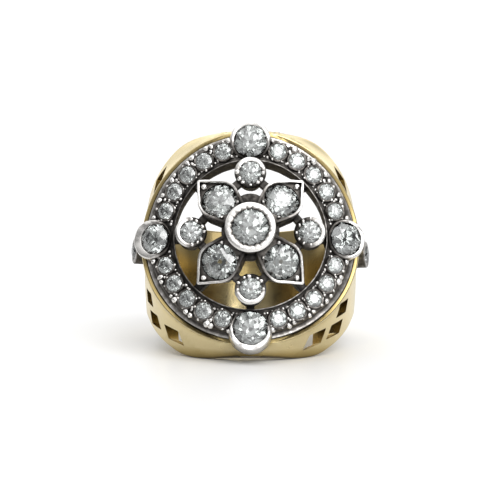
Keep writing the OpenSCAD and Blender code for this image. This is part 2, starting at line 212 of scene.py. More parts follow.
gold, tree, shader = new_material("pale_gold")
print("a new material starts with the nodes:", [node.name for node in tree.nodes])

# %% [markdown]
# Pale yellow gold is cream where it catches the light and browner in the corners, where some dirt gathers
# and shade is painted in, with faint hairlines that run round the finger. One flat colour would look like
# plastic. Here the colour follows three things: how worn each point is, which every piece stores on its
# vertices together with painted shade, how open it lies, which ambient occlusion finds and which darkens
# the corners as painted shade, and a soft noise that breaks both up.

# %% Gold
def wear_and_shade_value(tree):
    """How worn a point is, and where painted shade darkens it, as stored on the piece's vertices."""
    return add(tree, "ShaderNodeAttribute", attribute_name="wear_and_shade").outputs["Fac"]


def open_value(tree, distance, power):
    """Near 1 on open metal and falling to 0 in the corners, within a distance in metres."""
    corners = add(tree, "ShaderNodeAmbientOcclusion", Distance=distance, samples=8)
    return calculate(tree, "POWER", corners.outputs["AO"], power)


def roughen(tree, shader, height, strength, depth):
    """Fine marks that are too small to be modelled, as a bump."""
    bump = add(tree, "ShaderNodeBump", Strength=strength, Distance=depth)
    tree.links.new(height, bump.inputs["Height"])
    tree.links.new(bump.outputs["Normal"], shader.inputs["Normal"])


shader.inputs["Metallic"].default_value = 1
uneven_shade = calculate(tree, "MULTIPLY_ADD", patches(tree, scale=350, detail=4), 0.16, -0.08)
# painted shade, with some dirt: occlusion and the stored values darken corners, ledge, rim edge, hole and low
# front
painted_shade_and_dirt = calculate(tree, "MULTIPLY", open_value(tree, distance=0.0012, power=1.7), wear_and_shade_value(tree))
tone = ramp(tree, calculate(tree, "ADD", painted_shade_and_dirt, uneven_shade), [
    (0.1, (0.22, 0.17, 0.08)),
    (0.45, (0.52, 0.40, 0.17)),
    (0.95, (0.86, 0.73, 0.43)),
])
tree.links.new(tone, shader.inputs["Base Color"])
polish = rescale(tree, patches(tree, scale=900), low=0.16, high=0.32)
tree.links.new(polish, shader.inputs["Roughness"])
hairlines = patches(tree, scale=900, detail=5, stretch=(1, 12, 12))
roughen(tree, shader, hairlines, strength=0.06, depth=0.00003)
print("gold nodes:", len(tree.nodes))

# %% [markdown]
# Old silver is almost black in its recesses and near white on every edge that is touched. It could be painted
# by hand as a texture. The same three values do it without one: the wear gives the broad areas and, under the
# grains and on the centre collet's inner edge, painted shade; occlusion keeps the corners dark, and a fine
# noise makes the border between dark and bright ragged.

# %% Silver
silver, tree, shader = new_material("worn_silver")
shader.inputs["Metallic"].default_value = 1
ragged = calculate(tree, "MULTIPLY_ADD", patches(tree, scale=2600, detail=4), 0.7, -0.35)
# the stored values are wear, with painted shade under the grains and on the centre collet's inner edge
wear_and_shade_level = calculate(tree, "ADD", wear_and_shade_value(tree), ragged)
wear_and_shade_level = calculate(tree, "MULTIPLY", wear_and_shade_level, open_value(tree, distance=0.0004, power=1.6))
tone = ramp(tree, wear_and_shade_level, [
    (0.0, (0.028, 0.026, 0.024)),
    (0.3, (0.13, 0.12, 0.11)),
    (0.55, (0.45, 0.43, 0.41)),
    (0.8, (0.9, 0.88, 0.85)),
])
tree.links.new(tone, shader.inputs["Base Color"])
gloss = ramp(tree, wear_and_shade_level, [(0.1, (0.5,) * 3), (0.5, (0.38,) * 3), (0.85, (0.26,) * 3)])
tree.links.new(gloss, shader.inputs["Roughness"])
pits = patches(tree, scale=5200, detail=4)
roughen(tree, shader, pits, strength=0.25, depth=0.00004)
print("silver nodes:", len(tree.nodes))

# %% [markdown]
# The stones are old-cut diamonds, whose sparkle is light thrown about between real facets. It could be faked
# with a painted pattern, but the solids have every facet, so clear glass with a diamond's index of refraction
# does it by itself. The base colour is grey, as painted shade for the darker room that real stones reflect,
# and a trace of haze stands for long handling.

# %% Diamond
DIAMOND_INDEX = 2.42

diamond, tree, shader = new_material("old_cut_diamond")
# painted shade: the grey base colour darkens the stones as a darker room would
shader.inputs["Base Color"].default_value = (0.35, 0.37, 0.36, 1)
shader.inputs["Transmission Weight"].default_value = 1
shader.inputs["IOR"].default_value = DIAMOND_INDEX
haze = rescale(tree, patches(tree, scale=2200), low=0.0, high=0.03, start=0.45, full=0.8)
tree.links.new(haze, shader.inputs["Roughness"])
stones = [node for name, node in nodes.items() if "stone" in name]
for stone in stones:
    stone.data.materials.clear()
    stone.data.materials.append(diamond)
print("stones:", len(stones))

# %% [markdown]
# The gold band is one piece: domed across its width, narrow behind the finger, widening evenly up to the
# head, where it sweeps up to the foot of the rim. A box could be cut down to that shape, but its curved
# flanks would come out in steps. So its outline is written as two functions, one for how far the band reaches
# along the finger and one for the skin's height, and the mesh follows them exactly.

# %% Outline of the band
FINGER_R, BAND_T, BAND_FALL, HALF_SHANK = 9, 1.95, 1.2, 5
REACH_LOW, REACH_HIGH = 11.9, 11.1
FLARE_START, FLARE_END, FLARE_R, CORNER_R = 0.3, 7.9, 8, 4
RIM_R, RIM_W, RIM_STEP = 11.05, 0.45, 1.5
SKIRT_RISE, SKIRT_W, SKIRT_FULL, SKIRT_END = 1.7, 2.4, 55, 92
DOME_R = (REACH_LOW ** 2 + BAND_FALL ** 2) / (2 * BAND_FALL)
ROUNDS = 20


def head_reach(side):
    """The head reaches a little further on its lower side, -1, than on its upper side, 1."""
    return REACH_LOW if side < 0 else REACH_HIGH


def reach_at(z, reach):
    """How far the band reaches along the finger at a height z: shank, curve, flank, corner, head."""
    flank = atan2(reach - HALF_SHANK, FLARE_END - FLARE_START)
    foot, corner = FLARE_R * tan(flank / 2), CORNER_R * tan(flank / 2)
    if z <= FLARE_START - foot:
        return HALF_SHANK
    if z <= FLARE_START + foot * cos(flank):
        return HALF_SHANK + FLARE_R - sqrt(FLARE_R ** 2 - (z - FLARE_START + foot) ** 2)
    if z <= FLARE_END - corner * cos(flank):
        return HALF_SHANK + (z - FLARE_START) * tan(flank)
    if z <= FLARE_END + corner:
        return reach - CORNER_R + sqrt(CORNER_R ** 2 - (z - FLARE_END - corner) ** 2)
    return reach


def skin_point(angle, y):
    """A point of the outer skin at an angle round the finger from the head, with the skirt's rise."""
    r = FINGER_R + BAND_T - DOME_R + sqrt(DOME_R ** 2 - y * y)
    x = r * sin(radians(angle))
    t = min(1, max(0, (abs(angle) - SKIRT_FULL) / (SKIRT_END - SKIRT_FULL)))
    away = max(0, sqrt(x * x + y * y) - RIM_R) / SKIRT_W
    rise = SKIRT_RISE * max(0, 1 - away) ** 2 * (1 - t * t * (3 - 2 * t))
    return Vector((x, y, r * cos(radians(angle)) + rise))


def skin_edge(angle, side):
    """Where the skin ends on one side. Its height and its reach depend on each other, so it takes rounds."""
    y = side * HALF_SHANK
    for _ in range(ROUNDS):
        y = side * reach_at(skin_point(angle, y).z, head_reach(side))
    return y


print("widest reach, mm:", round(skin_edge(0, -1), 2), round(skin_edge(0, 1), 2))

# %% [markdown]
# Two grids are bent round the finger, one for the skin and one for the finger hole, and their edges are
# bridged. A turned ring pushed into shape could do as well, but a grid gives even rows of faces along
# the outline, so the side edges come out smooth and take a clean bevel.

# %% Skin and finger hole of the band
AROUND, ACROSS_SKIN, ACROSS_HOLE = 240, 60, 12


def bent_grid(bm, across, edge, point):
    """A grid whose X runs once round the finger and whose Y runs from one side of the band to the other."""
    made = bmesh.ops.create_grid(bm, x_segments=AROUND, y_segments=across, size=0.5)["verts"]
    edges = {}
    for v in made:
        angle, share = round(360 * v.co.x, 4), v.co.y + 0.5
        if angle not in edges:
            edges[angle] = edge(angle, -1), edge(angle, 1)
        low, high = edges[angle]
        v.co = point(angle, low + (high - low) * share)


def hole_edge(angle, side):
    return side * reach_at(FINGER_R * cos(radians(angle)), head_reach(side))


def hole_point(angle, y):
    return Vector((FINGER_R * sin(radians(angle)), y, FINGER_R * cos(radians(angle))))


def soften(bm, width, segments=2, sharper_than=30, above=float("-inf")):
    """Rounds every edge that turns more sharply than an angle and lies above a height, as polishing does."""
    sharp = [e for e in bm.edges if e.is_manifold and e.calc_face_angle() > radians(sharper_than)]
    sharp = [e for e in sharp if min(v.co.z for v in e.verts) > above]
    bmesh.ops.bevel(bm, geom=sharp, offset=width, affect="EDGES", segments=segments, profile=0.5, material=-1)


def as_object(bm, name):
    """Hands a finished bmesh to a new object in the scene."""
    mesh = bpy.data.meshes.new(name)
    bm.to_mesh(mesh)
    bm.free()
    made = bpy.data.objects.new(name, mesh)
    bpy.context.scene.collection.objects.link(made)
    return made


bm = bmesh.new()
bent_grid(bm, ACROSS_SKIN, skin_edge, skin_point)
bent_grid(bm, ACROSS_HOLE, hole_edge, hole_point)
bmesh.ops.remove_doubles(bm, verts=bm.verts, dist=1e-4)
for side in (-1, 1):
    rims = [e for e in bm.edges if e.is_boundary and side * (e.verts[0].co.y + e.verts[1].co.y) > 0]
    bmesh.ops.bridge_loops(bm, edges=rims)
bmesh.ops.recalc_face_normals(bm, faces=bm.faces)
soften(bm, 0.2, segments=3, sharper_than=42)
band = as_object(bm, "gold_band")
print("band shell faces:", len(band.data.polygons))

# %% [markdown]
# The rim is a thin gold wall round the cluster, with a ledge inside that the silver rests on. A jeweller
# turns such a ring, so here a short profile is spun, and then it is let down on to the saddle. It could be
# left as a piece of its own, but on the real ring it is one with the band, so the two are joined exactly.

# %% Rim and seat
SEAT, OPENING_R = 2.25, 8.32
RIM_IN = RIM_R - RIM_W


def lathe(profile, steps=64):
    """Spins a closed profile of (radius, height) pairs round Z."""
    bm = bmesh.new()
    ring = [bm.verts.new((r, 0, z)) for r, z in profile]
    edges = [bm.edges.new(pair) for pair in zip(ring, ring[1:] + ring[:1])]
    bmesh.ops.spin(bm, geom=ring + edges, cent=(0, 0, 0), axis=(0, 0, 1), angle=2 * pi, steps=steps,
                   use_merge=True)
    bmesh.ops.remove_doubles(bm, verts=bm.verts, dist=1e-5)
    bmesh.ops.delete(bm, geom=[e for e in bm.edges if not e.link_faces], context="EDGES")
    bmesh.ops.recalc_face_normals(bm, faces=bm.faces)
    return bm


def draped(bm):
    """Lifts a flat ring to the head and lets it sink on to the saddle."""
    bm.transform(shift(0, 0, HEAD_TOP))
    for v in bm.verts:
        v.co.z += saddle_top(v.co.x) - HEAD_TOP
    return bm


def cut(target, tool, how="DIFFERENCE", crossing=False):
    """Cuts or joins one object with another, exactly, and keeps the result as the target's mesh."""
    modifier = target.modifiers.new("cut", "BOOLEAN")
    modifier.use_self = crossing
    modifier.operation, modifier.solver, modifier.object = how, "EXACT", tool
    result = bpy.data.meshes.new_from_object(target.evaluated_get(bpy.context.evaluated_depsgraph_get()))
    target.modifiers.clear()
    target.data = result
    bpy.data.objects.remove(tool)


rim = draped(lathe([
    (OPENING_R - 0.5, -6), (RIM_R - 0.3, -6), (RIM_R, -RIM_STEP - 0.1), (RIM_R - 0.04, -RIM_STEP - 0.02),
    (RIM_R - 0.12, -RIM_STEP), (RIM_IN + 0.05, -RIM_STEP - 0.12), (RIM_IN, -RIM_STEP - 0.2),
    (RIM_IN, -SEAT), (OPENING_R - 0.5, -SEAT),
], steps=160))
room = draped(lathe([(0, -SEAT), (RIM_IN + 0.02, -SEAT), (RIM_IN + 0.02, 4), (0, 4)], steps=160))
cut(band, as_object(room, "room"))
cut(band, as_object(rim, "rim"), "UNION")
print("band with its rim, faces:", len(band.data.polygons))

# %% [markdown]
# The head is open: light comes in from behind through a round opening and through the finger hole. Both could
# be left out of the mesh from the start, but then the rim would have to be fitted to them. Two plain drills
# cut them cleanly through band and rim together, as they are bored in the workshop.

# %% Opening and finger hole
def finger_drill(r, steps):
    """A long cylinder along the finger."""
    drill = lathe([(0, -14), (r, -14), (r, 14), (0, 14)], steps=steps)
    drill.transform(turn(90, "X"))
    return drill


opening = lathe([(0, 2), (OPENING_R, 2), (OPENING_R, 20), (0, 20)], steps=160)
cut(band, as_object(opening, "opening"))
cut(band, as_object(finger_drill(FINGER_R, steps=240), "bore"))
print("band with its holes, faces:", len(band.data.polygons))

# %% [markdown]
# Slanting lozenges are pierced through the shoulders with a saw. They could be drawn as dark patches, but
# from the side one looks right through them, so they are real holes. One lozenge is built from four corners and
# extruded, its upright edges are rounded a little, and ten turned and mirrored copies are cut in one go.

# %% Pierced lozenges
LOZENGE_LONG, LOZENGE_SHORT, LEAN, STEEP, SAW_H = 2.5, 1.45, 25, 85, 6
lozenges = [  # shoulder, edge, angle from the head, share of the head's reach
    (-1, -1, 47, 0.768), (-1, -1, 65.5, 0.59), (-1, -1, 70.3, 0.385),
    (1, -1, 37.3, 0.826), (1, -1, 53.6, 0.703), (1, -1, 56.6, 0.518),
    (-1, 1, 60, 0.665), (-1, 1, 73.5, 0.37), (1, 1, 60, 0.665), (1, 1, 73.5, 0.37),
]


def joined(parts):
    """One bmesh from several (bmesh, place) pairs."""
    whole = bmesh.new()
    whole.verts.layers.float.new("wear_and_shade")
    for part, place in parts:
        part.transform(place)
        mesh = bpy.data.meshes.new("part")
        part.to_mesh(mesh)
        part.free()
        whole.from_mesh(mesh)
        bpy.data.meshes.remove(mesh)
    return whole


long_side = Vector((-cos(radians(LEAN)), sin(radians(LEAN)), 0)) * LOZENGE_LONG / 2
short_side = Vector((-cos(radians(STEEP)), sin(radians(STEEP)), 0)) * LOZENGE_SHORT / 2
corners = [-long_side - short_side, long_side - short_side, long_side + short_side, short_side - long_side]
saws = []
for shoulder, edge, angle, share in lozenges:
    saw = bmesh.new()
    face = saw.faces.new([saw.verts.new(c) for c in corners])
    top = bmesh.ops.extrude_face_region(saw, geom=[face])["geom"]
    bmesh.ops.translate(saw, verts=[v for v in top if isinstance(v, bmesh.types.BMVert)], vec=(0, 0, SAW_H))
    bmesh.ops.recalc_face_normals(saw, faces=saw.faces)
    soften(saw, 0.08, sharper_than=40)
    mirrored = Matrix.Diagonal((shoulder, edge, 1, 1))
    saws.append((saw, mirrored @ turn(angle, "Y") @ shift(0, head_reach(edge) * share, FINGER_R - BAND_T)))
saw = joined(saws)
bmesh.ops.recalc_face_normals(saw, faces=saw.faces)
cut(band, as_object(saw, "saw"))
print("lozenges:", len(lozenges), "band faces:", len(band.data.polygons))

# %% [markdown]
# Gold is painted darker where shade falls: on the ledge of the seat under the silver, along the rim's inner
# edge, where dirt adds to the painted shade, inside the hole towards its upper end, and on the band's lower
# front. That could be painted in a texture, but a rule on each vertex's place says it in a few lines. Every
# piece ends with the same steps: it gets the small unevenness of handwork if it is silver, is laid down with
# the solids, is shaded, is hung on the root, and hides the solid it stands for.

# %% The band's painted shade and dirt, and the last steps of every piece
BY_HAND, WAVES = 0.03, 1.3  # how uneven hand-worked silver is in millimetres, and how close its dents lie
SHARP_FROM = 32  # degrees


def wear_and_shade(bm, rule):
    """Stores wear and painted shade on each vertex, from a rule on its place: 0 is dark, 1 is rubbed."""
    layer = bm.verts.layers.float.get("wear_and_shade") or bm.verts.layers.float.new("wear_and_shade")
    for v in bm.verts:
        v[layer] = max(0.0, min(1.0, rule(v.co)))


def wear_and_shade_piece(piece, rule):
    """The same for a piece that has been cut."""
    bm = bmesh.new()
    bm.from_mesh(piece.data)
    wear_and_shade(bm, rule)
    bm.to_mesh(piece.data)
    bm.free()


def finish_piece(piece, material, stands_for=(), uneven=0):
    """Makes a piece a little uneven, lays it down, shades it, hangs it on the root and hides what it replaces.
    """
    for v in piece.data.vertices:
        v.co += noise.noise_vector(v.co * WAVES) * uneven
    piece.data.transform(LAID_DOWN)
    piece.data.materials.clear()
    piece.data.materials.append(material)
    piece.data.shade_smooth()
    piece.data.set_sharp_from_angle(angle=radians(SHARP_FROM))
    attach(piece, "root")
    if stands_for:
        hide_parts(*stands_for)
    print(piece.name, "faces:", len(piece.data.polygons))


def gold_dirt_and_shade(p):
    """Painted shade: dark ledge, brown rim edge with some dirt, darker towards the hole's top and low in front.
    """
    r, in_head, below = p.xy.length, p.z > 4, saddle_top(p.x) - RIM_STEP - p.z
    # painted shade: the ledge under the silver border is dark
    if in_head and below > 0.15 and OPENING_R - 0.1 < r < RIM_IN + 0.01:
        return 0.2
    # the rim's inner edge: dirt, and painted shade where it meets the silver
    if in_head and below < 0.3 and RIM_IN - 0.01 < r < RIM_R - 0.1:
        return 0.3 if r < RIM_IN + 0.1 else 0.6
    # painted shade: inside the hole the gold darkens towards its upper end
    if sqrt(p.x ** 2 + p.z ** 2) < FINGER_R + 0.05:
        return 1.0 - 0.17 * max(0, p.y + 1)
    # painted shade: the band's lower front, near the table, is darker
    low_front = p.y < -9 and p.z < 9
    return 0.85 if low_front else 1.0


wear_and_shade_piece(band, gold_dirt_and_shade)
finish_piece(band, gold, ["band"])

# %% [markdown]
# The border is one ring of silver: a bright inner rail, a sunk floor for the small stones, a dark outer wall
# and the flange that rests on the gold. It could be built up from separate rings, but a single turned profile
# has no gaps to hide, and the wear rule can still tell its rail, floor and wall apart by their height.

# %% Border of the cluster
BORDER_IN, BORDER_OUT, GALLERY_R, FLANGE_R, GALLERY_H = 7.62, 10.2, 8.27, 10.55, 3


def border_wear(p):
    """Bright on the inner rail's edge, grey between the stones, streaky on the outer wall, dark inside."""
    r = p.xy.length
    if p.z > -0.02:
        return 0.37
    if p.z > -0.5:
        return 0.12 if r < BORDER_IN + 0.2 else 0.2
    if r < GALLERY_R + 0.1:
        return 0.12
    return 0.62 if r > BORDER_OUT - 0.05 and p.z > -1.4 else 0.25


border = lathe([
    (BORDER_IN, -GALLERY_H), (BORDER_IN, -0.06), (BORDER_IN + 0.03, 0.0), (BORDER_IN + 0.1, 0.0),
    (BORDER_IN + 0.16, -0.2), (BORDER_IN + 0.3, -0.26), (BORDER_OUT - 0.3, -0.26), (BORDER_OUT - 0.14, -0.3),
    (BORDER_OUT - 0.08, -0.42), (BORDER_OUT - 0.1, -0.8), (BORDER_OUT - 0.12, -1.2),
    (BORDER_OUT - 0.06, -1.26), (FLANGE_R - 0.05, -1.3), (FLANGE_R, -1.36),
    (FLANGE_R, -2.2), (GALLERY_R, -2.2), (GALLERY_R, -GALLERY_H),
], steps=200)
wear_and_shade(border, border_wear)
border = as_object(draped(border), "silver_border")
print("border faces before drilling:", len(border.data.polygons))

# %% [markdown]
# Every stone sits in a hole that was drilled for it: a cone that carries the stone under its girdle, open
# at the back to let light in. The stones could just be sunk into solid silver, but they are clear, and what
# lies behind them shows. So 24 seats are cut through the border, and its underside is cut clear of the finger.

# %% Seats in the border
CARDINALS = [  # stone across, radius of its collet, how far out the collet's rim leans
    (3.5, 2.075, 0.0), (3.4, 2.075, 0.0), (3.13, 2.075, 0.25), (3.6, 2.14, 0.12),
]
BORDER_STONE = 1.9


def seat(d):
    """The hole that a stone sits in: a cone under the girdle, straight above it, open at the back."""
    r, back, girdle = d / 2 + 0.03, -0.09 * d - 0.45 * d, -0.09 * d - 0.03
    return lathe([(0, back), (0.3, back), (r, girdle), (r, 1), (0, 1)], steps=32)


drills = [(seat(BORDER_STONE), place) for place in border_places]
drills += [(seat(row[0]), place) for row, place in zip(CARDINALS, cardinal_places)]
cut(border, as_object(joined(drills), "drills"))
cut(border, as_object(finger_drill(FINGER_R + 0.05, steps=160), "bore"))
print("seats in the border:", len(drills))
finish_piece(border, silver, ["cluster"], uneven=BY_HAND)

# %% [markdown]
# Each large stone has a collet, a short tube whose top edge is pressed over the stone. Its outer side was
# left broad and rubs bright, while the side that faces the flower is thin and dark. A plain tube would be the
# same all round. So the profile is spun first, and then its vertices are moved by how far outward they lie.

# %% Large collets
PINCH, DIP = 0.06, 0.32


def outward(p, r):
    """1 on the side away from the cluster's middle, 0 on the side that faces it."""
    return 0.5 + 0.5 * p.x / max(r, 1e-6)


def collet_wear(p):
    return 0.05 + 1.15 * outward(p, p.xy.length) if p.z > -0.9 else 0.5 * outward(p, 2)


for i, (place, (stone, outer, lean)) in enumerate(zip(cardinal_places, CARDINALS), 1):
    r = stone / 2
    collet = lathe([
        (r - 0.3, -1.3), (outer * 1.07, -1.3), (outer * 1.04, -0.6), (outer + 0.02, -0.18),
        (outer - 0.03, -0.05), (outer - 0.12, 0.02), (r + 0.14, 0.03), (r + 0.02, -0.02), (r - 0.03, -0.1),
        (r + 0.03, -0.2), (r + 0.03, -0.4), (r - 0.3, -0.75),
    ], steps=96)
    for v in collet.verts:
        far = outward(v.co, v.co.xy.length)
        if v.co.z > -0.15 and v.co.xy.length < r + 0.2:  # the inner lip
            v.co.xy *= 1 - PINCH * far ** 3
        if v.co.z > -0.55 and v.co.xy.length > r:  # the top
            v.co.z -= DIP * (1 - far) ** 2
        if v.co.xy.length > outer - 0.2:  # the outer wall
            v.co.x += lean
            v.co.xy *= 1 - PINCH * (1 - far)
    wear_and_shade(collet, collet_wear)
    collet.transform(place)
    finish_piece(as_object(collet, f"cardinal_collet_{i}"), silver, uneven=2 * BY_HAND)

# %% [markdown]
# The centre stone stands highest, in a broad bright collet whose inner edge is notched all the way round. The
# notches could be cut one by one with a file, as on the bench. Moving the vertices of the inner edge outwards
# in every notch gives the same scalloped line without a cut, and each notch can have its own depth.

# %% Centre collet
NOTCHES, NOTCH_SHARE = 22, 0.34

collet = lathe([
    (1.5, -2.95), (2.32, -2.95), (2.57, -0.2), (2.54, -0.1), (2.45, -0.03), (2.2, 0.03), (1.95, 0.02),
    (1.82, -0.03), (1.78, -0.12), (1.99, -0.28), (1.99, -0.45), (1.5, -0.9),
], steps=NOTCHES * 6)
for v in collet.verts:
    r = v.co.xy.length
    if r < 2.0 and v.co.z > -0.2:
        step = (degrees(atan2(v.co.y, v.co.x)) / 360 * NOTCHES) % 1
        grow = uniform(0.02, 0.11) if step < NOTCH_SHARE else uniform(-0.03, 0.01)
        v.co.xy = v.co.xy * (r + grow) / r
        v.co.z -= grow * 0.6
# painted shade: the top darkens towards the stone, as the shaded inner bevel
wear_and_shade(collet, lambda p: min(0.9, 0.3 + 2.4 * (p.xy.length - 1.87)) if p.z > -0.18 else 0.15)
collet.transform(centre_place)
finish_piece(as_object(collet, "centre_collet"), silver, uneven=BY_HAND / 2)

# %% [markdown]
# Under the centre collet a dark hub ties the petals together, and a lobe of it shows between the two upper
# petals. It could be sawn from sheet to one outline. Two turned discs that overlap look the same from every
# side that shows, and their edges are softened before they are put together.

# %% Hub
HUB_R, HUB_RISE, HUB_H = 2.9, 1.45, 0.9
LOBE_R, LOBE_REACH = 1.9, 3.9

discs = []
for r, steps in ((HUB_R, 64), (LOBE_R, 48)):
    discs.append(lathe([(0.6, -HUB_H), (r, -HUB_H), (r, 0), (0.6, 0)], steps=steps))
for disc in discs:
    soften(disc, 0.1)
    wear_and_shade(disc, lambda p: 0.1)
level = HEAD_TOP + HUB_RISE
hub = joined(zip(discs, (shift(0, 0, level), shift(0, LOBE_REACH - LOBE_R, level - 0.05))))
finish_piece(as_object(hub, "flower_hub"), silver)

# %% [markdown]
# A petal is a leaf of silver drawn out to a point, hollowed so that a thin rail stands round the stone. It
# could be drawn as a curve and extruded. A circle whose points move out on to the straight sides is simpler:
# its faces stay even, and insetting the top face leaves a rail of one width. The point is worn back only after
# the inset, because an inset of a very small corner crosses itself.

# %% Petals
HALF_W, PETAL_H, RECESS, RAIL, FLOOR_DROP = 2.12, 1.6, 0.3, 0.26, 0.12
PETAL_STONE, PETAL_REACH, TIP_WORN = 3.55, 7.5, 0.12
TIP = (PETAL_REACH - PETAL_RING) / cos(radians(PETAL_TILT))
FOOT_X, FOOT_W = 2.73, 1.3


def leaf(r, tip, foot_x, foot_w):
    """A disc drawn out to a point along X, which narrows the other way to a straight foot."""
    bm = bmesh.new()
    bmesh.ops.create_circle(bm, cap_ends=True, radius=1, segments=144)
    touch = acos(r / tip)
    corner = atan2(foot_w, -foot_x)
    leave = corner - acos(r / sqrt(foot_x ** 2 + foot_w ** 2))
    for v in bm.verts:
        angle = abs(atan2(v.co.y, v.co.x))
        if angle < touch:
            size = r / cos(touch - angle)
        elif angle < leave:
            size = r
        elif angle < corner:
            size = r / cos(angle - leave)
        else:
            size = -foot_x / cos(angle)
        v.co *= size
    return bm


def raised(bm, faces, height):
    """Extrudes faces straight up, or down for a hollow, and returns the moved faces."""
    made = bmesh.ops.extrude_face_region(bm, geom=faces)["geom"]
    moved = [g for g in made if isinstance(g, bmesh.types.BMVert)]
    bmesh.ops.translate(bm, verts=moved, vec=(0, 0, height))
    if height < 0:
        bmesh.ops.delete(bm, geom=faces, context="FACES_ONLY")
    return [g for g in made if isinstance(g, bmesh.types.BMFace)]


def petal_wear(p):
    """The rail is bright at the tip and darker towards the centre; the seat is clean silver."""
    if p.z > RECESS - 0.1:
        return 0.55 + 0.2 * p.x
    if p.xy.length < PETAL_STONE / 2 + 0.06 and p.z < -0.14:
        return 0.6
    return 0.3 if p.z > -0.2 else 0.1


for i, place in enumerate(petal_places, 1):
    petal = leaf(HALF_W, TIP, FOOT_X, FOOT_W)
    petal.transform(shift(0, 0, -PETAL_H))
    top = raised(petal, petal.faces[:], PETAL_H + RECESS)
    bmesh.ops.inset_region(petal, faces=top, thickness=RAIL, use_even_offset=True)
    raised(petal, top, -RECESS - FLOOR_DROP)
    for v in petal.verts:
        v.co.xy *= min(1, (TIP - TIP_WORN) / max(v.co.xy.length, 1e-6))
    bmesh.ops.recalc_face_normals(petal, faces=petal.faces)
    soften(petal, 0.07, sharper_than=40, above=RECESS - 0.01)
    petal = as_object(petal, f"petal_{i}")
    cut(petal, as_object(seat(PETAL_STONE), "drill"))
    wear_and_shade_piece(petal, petal_wear)
    petal.data.transform(place)
    finish_piece(petal, silver, uneven=1.5 * BY_HAND)

# %% [markdown]
# Four small bezels stand between the petals. Each is a cup whose edge is bright on its outer side and sinks
# a little towards the centre; the grains all round it come further on. A bevelled cylinder would be close, but
# a spun profile gives the cup its taper, lip and inner ledge in one step.

# %% Small bezels
BEZEL_DIP = 0.16


def bezel_wear(p):
    return 1.5 * outward(p, p.xy.length) - 0.4 if p.z > -0.3 else 0.1


for i, place in enumerate(bezel_places, 1):
    bezel = lathe([
        (0.8, -2.9), (1.28, -2.9), (1.59, -0.3), (1.57, -0.1), (1.46, -0.01), (1.32, 0.02), (1.16, -0.02),
        (1.12, -0.1), (1.18, -0.2), (1.18, -0.3), (0.8, -0.7),
    ], steps=80)
    for v in bezel.verts:
        if v.co.z > -0.25:
            v.co.z -= BEZEL_DIP * max(0, 1 - outward(v.co, v.co.xy.length)) ** 1.5
    wear_and_shade(bezel, bezel_wear)
    bezel.transform(place)
    finish_piece(as_object(bezel, f"small_bezel_{i}"), silver, uneven=BY_HAND)

# %% [markdown]
# Under the flower, upright webs carry the petals out to the border, and arms and struts hold the small
# bezels. They could be one sawn plate, but the webs are deep and the arms thin. So plain bars are softened,
# drilled for the stones above them and put in place, and then two turned tools trim them all: one to the
# border's inner wall, one to the saddle below.

# %% Webs, arms and struts
ARM_W, ARM_TOP, ARM_H = 0.8, 0.9, 0.9
WEB_START, WEB_H, BAR_EDGE = 0.6, 3.2, 0.06
STRUT_H, STRUT_SHORT = 0.8, 1.95
BEZEL_SEAT = 2.4


def bar(length, height):
    """A bar with soft edges that starts at the origin and runs along X, with its top at Z = 0."""
    bm = bmesh.new()
    bmesh.ops.create_cube(bm, size=1)
    bm.transform(shift(length / 2, 0, -height / 2) @ Matrix.Diagonal((length, ARM_W, height, 1)))
    soften(bm, BAR_EDGE, segments=1)
    return bm


def drilled(bm, drill):
    """A simple solid with a seat cut out of it, before it is joined to others."""
    solid = as_object(bm, "solid")
    cut(solid, as_object(drill, "drill"))
    left = bmesh.new()
    left.from_mesh(solid.data)
    bpy.data.objects.remove(solid)
    return left


carriers = []
for place in petal_places:
    web = bar(TIP + WEB_START, WEB_H)
    web.transform(shift(WEB_START, 0, -PETAL_H + 0.1))
    carriers.append((drilled(web, seat(PETAL_STONE + 0.1)), place))
run = Vector((PETAL_RING * cos(radians(45)) - BEZEL_RING, PETAL_RING * sin(radians(45)), 0))
for q, place in enumerate(bezel_places):
    arm_z = saddle_top(7 * cos(radians(90 * q))) - ARM_TOP
    arm = bar(BORDER_IN + 0.1 - BEZEL_RING, ARM_H)
    carriers.append((arm, turn(90 * q, "Z") @ shift(BEZEL_RING, 0, arm_z)))
    for side in (-1, 1):
        strut = bar(run.length - STRUT_SHORT, STRUT_H)
        strut.transform(turn(side * degrees(atan2(run.y, run.x)), "Z") @ shift(0, 0, -0.4))
        carriers.append((drilled(strut, seat(BEZEL_SEAT)), place))
print("bars:", len(carriers))
carriers = joined(carriers)
wear_and_shade(carriers, lambda p: 0.1)
carriers = as_object(carriers, "webs_and_arms")
room = lathe([(BORDER_IN + 0.08, -9), (30, -9), (30, 30), (BORDER_IN + 0.08, 30)], steps=96)
cut(carriers, as_object(room, "room"), crossing=True)
foot = -ARM_TOP - ARM_H
under = draped(lathe([(0, -20), (12, -20)] + [(r, foot) for r in (12, 8, 4, 2, 0)], steps=64))
cut(carriers, as_object(under, "under"))
finish_piece(carriers, silver)

# %% [markdown]
# Each small stone of the border has a thin lip of silver pushed up round its girdle. A torus would be too
# even, because a lip like this is pushed up with a point, dab by dab. So a thin profile is spun with few
# steps, and every vertex is moved a little at random.

# %% Lips of the small stones
lips = []
for place in border_places:
    lip = lathe([
        (0.9, -0.3), (0.83, -0.06), (0.87, -0.01), (0.97, 0.0), (1.05, -0.08), (1.12, -0.3),
    ], steps=32)
    for v in lip.verts:
        v.co.z += uniform(-0.025, 0.025)
        v.co.xy *= uniform(0.97, 1.03)
    wear_and_shade(lip, lambda p: 0.32 if p.z > -0.12 else 0.15)
    lips.append((lip, place))
finish_piece(as_object(joined(lips), "stone_lips"), silver)

